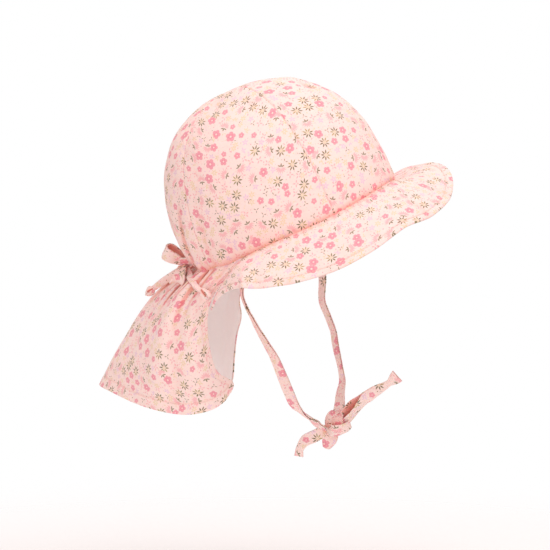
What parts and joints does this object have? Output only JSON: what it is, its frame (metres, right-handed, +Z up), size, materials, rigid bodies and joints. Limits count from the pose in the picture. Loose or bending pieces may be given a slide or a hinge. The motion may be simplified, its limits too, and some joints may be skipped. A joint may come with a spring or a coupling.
{
  "type": "neck flap sun hat",
  "caption": "Toddler's soft cotton sun hat with a rounded crown, wavy brim, gathered neck flap, bow at the nape and knotted chin ties.",
  "frame": {"origin": "centre of the head opening, where the hat sits on a head", "axes": "+X to the front of the hat, +Y to the wearer's left, +Z up; the opening's plane is tilted 24 degrees, front up"},
  "size_m": [0.2822, 0.2276, 0.2969],
  "materials": {
    "crown_cloth": "matt printed cotton",
    "brim_cloth": "matt printed cotton",
    "flap_cloth": "matt printed cotton",
    "lining_cloth": "matt plain cotton",
    "tie_tape": "matt printed cotton tape",
    "bow_tape": "matt printed cotton tape"
  },
  "bodies": {
    "root": {"crown_front": "crown_cloth", "crown_side_left": "crown_cloth", "crown_back": "crown_cloth", "crown_side_right": "crown_cloth", "brim": "brim_cloth", "neck_flap": "flap_cloth", "neck_flap_lining": "lining_cloth", "chin_tie_right": "tie_tape", "chin_tie_left": "tie_tape", "chin_tail_upper": "tie_tape", "chin_tail_lower": "tie_tape", "chin_knot": "tie_tape", "chin_stub": "tie_tape", "bow_knot": "bow_tape", "bow_loop_upper": "bow_tape", "bow_loop_lower": "bow_tape", "bow_tail_left": "bow_tape", "bow_tail_right": "bow_tape"}
  },
  "joints": []
}
